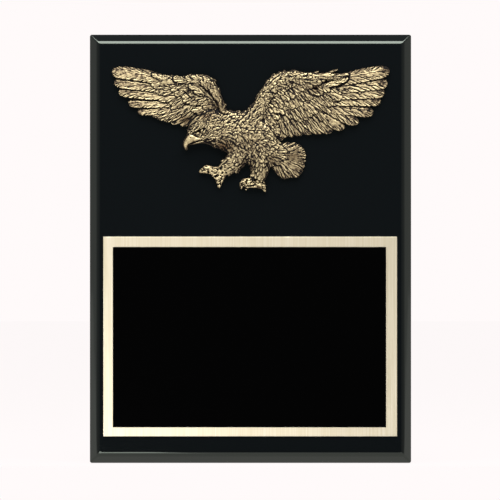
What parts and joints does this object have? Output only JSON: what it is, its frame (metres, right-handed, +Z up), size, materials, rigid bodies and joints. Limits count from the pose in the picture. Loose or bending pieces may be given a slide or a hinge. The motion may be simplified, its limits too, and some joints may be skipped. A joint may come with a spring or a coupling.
{
  "type": "wall plaque",
  "caption": "Upright rectangular wall plaque: black lacquered board with bevelled edges, a low-relief eagle emblem with spread wings above, and a blank engraving plate on a brass plate below.",
  "frame": {"origin": "middle of the board's flat back, which lies on the wall", "axes": "+Z up the plaque, +Y out of the back into the wall, front face towards -Y"},
  "size_m": [0.2286, 0.0248, 0.3048],
  "materials": {
    "black_lacquer": "high-gloss black piano lacquer over wood fibreboard",
    "antique_gold": "cast metal plated in antique gold, dark patina rubbed back on the high places",
    "brushed_brass": "brushed upright, clear coated",
    "black_plate": "gloss black coating on thin brass"
  },
  "bodies": {
    "root": {"board": "black_lacquer", "eagle": "antique_gold", "brass_plate": "brushed_brass", "engraving_plate": "black_plate"}
  },
  "joints": []
}
